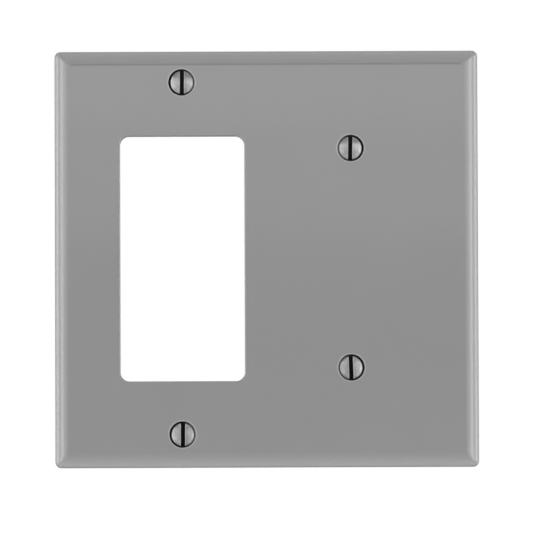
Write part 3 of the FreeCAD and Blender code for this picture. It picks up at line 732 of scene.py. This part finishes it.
def plate_plastic(finish, plate):
    """Satin plastic: faint cloudiness and speckle, a fine moulded skin, painted shade in the screw recesses.

    The painted shade is dark on the outer side of each recess, where the gap is wide, and lighter on the
    inner side.
    A painted highlight lightens the lip round each recess, and a painted dark line, which stands in for a
    dark reflection, runs where the top band meets the face.
    """
    tree = Tree(bpy.data.materials.new("plate_plastic"))
    place = tree.node("ShaderNodeTexCoord", output=3)
    x, y, z = tree.split(place)
    cloud = tree.noise(place, CLOUD_SCALE, 3.0)
    speckle = tree.noise(place, SPECKLE_SCALE, 2.0)
    base = tree.mix(cloud + speckle * 0.6 + 0.5, scaled(finish.plastic, 0.975), scaled(finish.plastic, 1.025))
    distance = None
    outward = abs(x) - (screw_axis("blank_screw_upper")[0] + plate.hole_shift)
    for node in ("decorator_screw_upper", "blank_screw_upper"):
        axis_x, axis_z = screw_axis(node)
        across = x - (axis_x + math.copysign(plate.hole_shift, axis_x))
        along = abs(z) - axis_z
        away = (across * across + along * along).root()
        distance = away if distance is None else distance.least(away)
    rim = plate.recess + plate.recess_rounding
    behind_face = y.ramp(PLATE_LOW.y + 0.12 * MM, PLATE_LOW.y + 0.5 * MM)
    # Painted shade in the gap between each screw head and the wall of its recess.
    crevice = (1 - distance.ramp(plate.recess - 0.02 * MM, plate.recess + 0.1 * MM)) * behind_face
    # Painted highlight: a lighter colour on the rounded lip round each recess.
    rim_highlight = (1 - distance.ramp(rim, rim + 0.25 * MM)) * (1 - behind_face)
    base = tree.mix(rim_highlight * 0.8, base, scaled(finish.plastic, 1.4))
    # The painted shade is near-black on the outer side of each recess and lighter on the inner side.
    thick = outward.ramp(-0.95 * plate.recess, 0.1 * plate.recess)
    painted_shade = tree.mix(1 - thick, scaled(finish.crevice, 1.0), scaled(finish.recess_shade_narrow_side, 1.0))
    base = tree.mix(crevice, base, painted_shade)
    # A painted dark line along the top band's inner edge, between the mitres, standing in for a dark
    # reflection.
    top_shade_line_z = PLATE_HIGH.z - plate.band + 0.15 * MM
    seam = 1 - abs(z - top_shade_line_z).ramp(0.05 * MM, 0.42 * MM)
    between_mitres = 1 - abs(x).ramp(PLATE_HIGH.x - 1.3 * plate.band, PLATE_HIGH.x - 0.95 * plate.band)
    base = tree.mix(seam * between_mitres * finish.seam, base, grey(0.0))
    rough = tree.noise(place, GLOSS_SCALE, 2.0) * 0.06 + speckle * 0.04 + finish.plastic_roughness
    skin = tree.noise(place, SKIN_SCALE, 2.0) + tree.noise(place, GRAIN_SCALE, 1.0) * 0.5
    bump = tree.node("ShaderNodeBump", None, {"Strength": 0.12, "Distance": 0.02 * MM, "Height": skin})
    # Where the painted shade is darkest the surface is also made rough and metallic, so that no diffuse light
    # lifts its near-black colour.
    dark_gap = crevice * thick
    return tree.surface(
        {"Base Color": base, "Roughness": rough + dark_gap * 0.5, "Metallic": dark_gap, "Normal": bump, "IOR": 1.5}
    )


def screw_steel(finish, screw):
    """Thin grey finish on turned steel: fine rings about the axis, strokes along the slot and faint smudges.

    The slot is dull, with painted shade deep inside it, and a painted highlight lightens the head along the
    slot's edges.
    """
    tree = Tree(bpy.data.materials.new("screw_steel"))
    own = tree.node("ShaderNodeAttribute", {"attribute_name": "own_axes"}, output=1)
    x, y, z = tree.split(own)
    away = (x * x + z * z).root()
    rings = tree.node("ShaderNodeCombineXYZ", None, {0: away * (1 / MM), 1: y * (TURNING_ALONG / MM), 2: 0.0})
    turned = tree.noise(rings, TURNING_SCALE, 3.0)
    smudge = tree.noise(own, SMUDGE_SCALE, 2.0)
    stretched = {axis: part * cells for axis, (part, cells) in enumerate(zip((x, y, z), STROKES))}
    brushed = tree.noise(tree.node("ShaderNodeCombineXYZ", None, stretched), STROKE_SCALE, 2.0)
    blend = turned * 0.6 + smudge + brushed * 2.4 + 0.5
    base = tree.mix(blend, scaled(finish.steel, 0.75), scaled(finish.steel, 1.2))
    top = -(screw.land + screw.crown)
    half_slot = screw.slot_width / 2
    in_slot = 1 - abs(x).ramp(half_slot, half_slot + 0.04 * MM)
    # Painted highlight: a lighter colour on the head along both edges of the slot.
    slot_edge_highlight = 1 - abs(x).ramp(half_slot + 0.15 * MM, half_slot + 0.32 * MM)
    base = tree.mix(slot_edge_highlight * (1 - in_slot) * 0.6, base, scaled(finish.steel, 1.7))
    # Painted shade: near-black colour deep inside the slot, darker the deeper it goes.
    deep = y.ramp(top + 0.1 * MM, top + 0.45 * MM)
    dark = in_slot * deep
    base = tree.mix(dark, base, scaled(finish.slot_shade, 1.0))
    rough = turned * 0.12 + smudge * 0.08 + dark * 0.35 + finish.steel_roughness
    bump = tree.node("ShaderNodeBump", None, {"Strength": 0.15, "Distance": 0.01 * MM, "Height": turned})
    metallic = dark + (1 - dark) * finish.steel_metallic
    return tree.surface({"Base Color": base, "Roughness": rough, "Metallic": metallic, "Normal": bump})


# ---------------------------------------------------------------- operators


# The softboxes: azimuth and elevation in degrees as seen from the plate, width and height as angles in
# degrees, and radiance. Each one that stands to the side has a twin on the other side.
SOFTBOXES = {
    "back_panel": (180, 15, 50, 50, 1.6),
    "floor_strip": (0, -97, 70, 20, 2.2),
    "ceiling_strip": (0, 95, 70, 12, 14.5),
    "side_strip_90": (90, -2, 20, 62, 5.0),
    "side_strip_115": (115, -2, 24, 62, 1.9),
    "side_strip_70": (70, -2, 12, 62, 2.5),
    "side_strip_56": (56, -2, 10, 62, 5.2),
    "side_strip_47": (47, -2, 10, 62, 4.2),
    "side_strip_36": (36, -2, 14, 62, 1.9),
    "side_strip_23": (23, -2, 12, 62, 1.1),
}
SOFTBOX_DISTANCE = 0.8
# Three low panels close to the plate shade the face from top to bottom: place along Y and Z, size, radiance.
NEAR_PANELS = {
    "panel_over": ((-0.1, 0.06), (0.3, 0.03), 1.0),
    "panel_middle": ((-0.1, 0.03), (0.3, 0.03), 0.48),
    "panel_under": ((-0.02, -0.08), (0.3, 0.02), 0.75),
}
# These light the plate but don't show in its reflections.
UNREFLECTED = ("back_panel", "ceiling_strip", "floor_strip", "panel_under")
# Brightness of the even light from all round, and how much paler the camera sees the floor than it is lit.
FILL = 0.25
FLOOR_GLOW = 0.62
# From the middle of the floor to each of its sides.
FLOOR_REACH = 12.0


class OBJECT_OT_wall_plate(bpy.types.Operator):
    """Build the moulded plate"""

    bl_idname = "object.make_wall_plate"
    bl_label = "Wall plate"

    def execute(self, context):
        settings = context.scene.plate_settings
        material = plate_plastic(context.scene.finish_settings, settings)
        mesh = plate_mesh(settings)
        finish_piece(mesh, "plate_moulding", "wall_plate", "wall_plate", material)
        return {"FINISHED"}


class OBJECT_OT_plate_screws(bpy.types.Operator):
    """Build the four screws"""

    bl_idname = "object.make_plate_screws"
    bl_label = "Plate screws"

    def execute(self, context):
        settings = context.scene.screw_settings
        plate = context.scene.plate_settings
        material = screw_steel(context.scene.finish_settings, settings)
        rim_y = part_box("decorator_screw_upper")[1].y - settings.length
        pattern = screw_mesh(settings, plate.screw_start - rim_y)
        keep_own_axes(pattern)
        leans = {
            "decorator_screw_upper": settings.lean_decorator,
            "decorator_screw_lower": settings.lean_decorator,
            "blank_screw_upper": settings.lean_blank_upper,
            "blank_screw_lower": settings.lean_blank_lower,
        }
        for node, lean in leans.items():
            x, z = screw_axis(node)
            mesh = pattern.copy()
            mesh.transform(Matrix.Translation((x, rim_y, z)) @ Matrix.Rotation(lean, 4, "Y"))
            finish_piece(mesh, node + "_steel", node, node, material)
        return {"FINISHED"}


class SCENE_OT_plate_studio(bpy.types.Operator):
    """Set up the camera, the floor and the lights"""

    bl_idname = "scene.make_plate_studio"
    bl_label = "Studio"

    def execute(self, context):
        scene = context.scene
        s = scene.studio_settings
        data = bpy.data.cameras.new("camera")
        camera = bpy.data.objects.new("camera", data)
        scene.collection.objects.link(camera)
        middle = (PLATE_LOW + PLATE_HIGH) / 2
        aim = Vector((middle.x + s.aim_x, middle.y, middle.z + s.aim_z))
        back = direction(s.azimuth, s.elevation)
        turn = (-back).to_track_quat("-Z", "Y").to_matrix().to_4x4()
        stand = Matrix.Translation(aim + back * s.distance)
        camera.matrix_world = stand @ turn @ Matrix.Rotation(s.roll, 4, "Z")
        data.lens = data.sensor_width * s.distance / s.frame_width
        data.clip_start, data.clip_end = 0.1, 20.0
        scene.camera = camera
        scene.view_settings.view_transform = "Standard"
        self.add_floor(scene, middle.z - s.floor_drop)
        self.add_world(scene)
        for name, (azimuth, elevation, width, height, radiance) in SOFTBOXES.items():
            size = [2 * SOFTBOX_DISTANCE * math.tan(math.radians(side) / 2) for side in (width, height)]
            for side in (1, -1) if azimuth % 180 else (1,):
                place = direction(math.radians(side * azimuth), math.radians(elevation)) * SOFTBOX_DISTANCE
                self.add_softbox(scene, name, place, size, radiance)
        for name, ((y, z), size, radiance) in NEAR_PANELS.items():
            self.add_softbox(scene, name, Vector((0, y, z)), size, radiance)
        return {"FINISHED"}

    def add_floor(self, scene, height):
        """A wide pale floor that the camera sees a little paler than it is lit."""
        mesh = bpy.data.meshes.new("floor")
        outline = bar_outline(-FLOOR_REACH, FLOOR_REACH, -FLOOR_REACH, FLOOR_REACH)
        corners = [(x, y, height) for x, y in outline]
        mesh.from_pydata(corners, [], [(0, 1, 2, 3)])
        floor = bpy.data.objects.new("floor", mesh)
        scene.collection.objects.link(floor)
        tree = Tree(bpy.data.materials.new("floor_paint"))
        place = tree.node("ShaderNodeTexCoord", output=3)
        base = tree.mix(tree.noise(place, 3.0) + 0.5, grey(0.83), grey(0.86))
        seen = tree.node("ShaderNodeLightPath")
        glow = tree.mix(seen, grey(0.0), grey(FLOOR_GLOW))
        inputs = {"Base Color": base, "Roughness": 0.8, "Emission Color": glow, "Emission Strength": 1.0}
        mesh.materials.append(tree.surface(inputs))

    def add_world(self, scene):
        """White to the camera, and a dim even fill to everything else."""
        scene.world = bpy.data.worlds.new("studio")
        tree = Tree(scene.world)
        seen = tree.node("ShaderNodeLightPath")
        background = tree.node("ShaderNodeBackground", None, {"Color": tree.mix(seen, grey(FILL), grey(1.0))})
        tree.node("ShaderNodeOutputWorld", None, {"Surface": background})

    def add_softbox(self, scene, name, place, size, radiance):
        """Hangs an area light that faces the origin. Its power follows from its radiance and its size."""
        data = bpy.data.lights.new(name, "AREA")
        data.shape = "RECTANGLE"
        data.size, data.size_y = size
        data.energy = radiance * math.pi * data.size * data.size_y
        light = bpy.data.objects.new(name, data)
        scene.collection.objects.link(light)
        turn = (-place).to_track_quat("-Z", "Y").to_matrix().to_4x4()
        light.matrix_world = Matrix.Translation(place) @ turn
        light.visible_camera = False
        light.visible_glossy = name not in UNREFLECTED


class VIEW3D_PT_wall_plate(bpy.types.Panel):
    """Lists the plate's operators and settings in the sidebar"""

    bl_label = "Wall plate"
    bl_category = "Wall plate"
    bl_space_type = "VIEW_3D"
    bl_region_type = "UI"

    def draw(self, context):
        for operator in OPERATORS:
            self.layout.operator(operator.bl_idname)
        for name in SETTINGS:
            box = self.layout.box()
            settings = getattr(context.scene, name)
            for key in settings.__annotations__:
                box.prop(settings, key)


OPERATORS = (OBJECT_OT_wall_plate, OBJECT_OT_plate_screws, SCENE_OT_plate_studio)
SETTINGS = {
    "plate_settings": PlateSettings,
    "screw_settings": ScrewSettings,
    "finish_settings": FinishSettings,
    "studio_settings": StudioSettings,
}


def register():
    for group in SETTINGS.values():
        bpy.utils.register_class(group)
    for name, group in SETTINGS.items():
        setattr(bpy.types.Scene, name, bpy.props.PointerProperty(type=group))
    for operator in (*OPERATORS, VIEW3D_PT_wall_plate):
        bpy.utils.register_class(operator)


def unregister():
    for operator in (VIEW3D_PT_wall_plate, *reversed(OPERATORS)):
        bpy.utils.unregister_class(operator)
    for name, group in SETTINGS.items():
        delattr(bpy.types.Scene, name)
        bpy.utils.unregister_class(group)


def main():
    register()
    bpy.ops.object.make_wall_plate()
    bpy.ops.object.make_plate_screws()
    bpy.ops.scene.make_plate_studio()


if __name__ == "__main__":
    main()
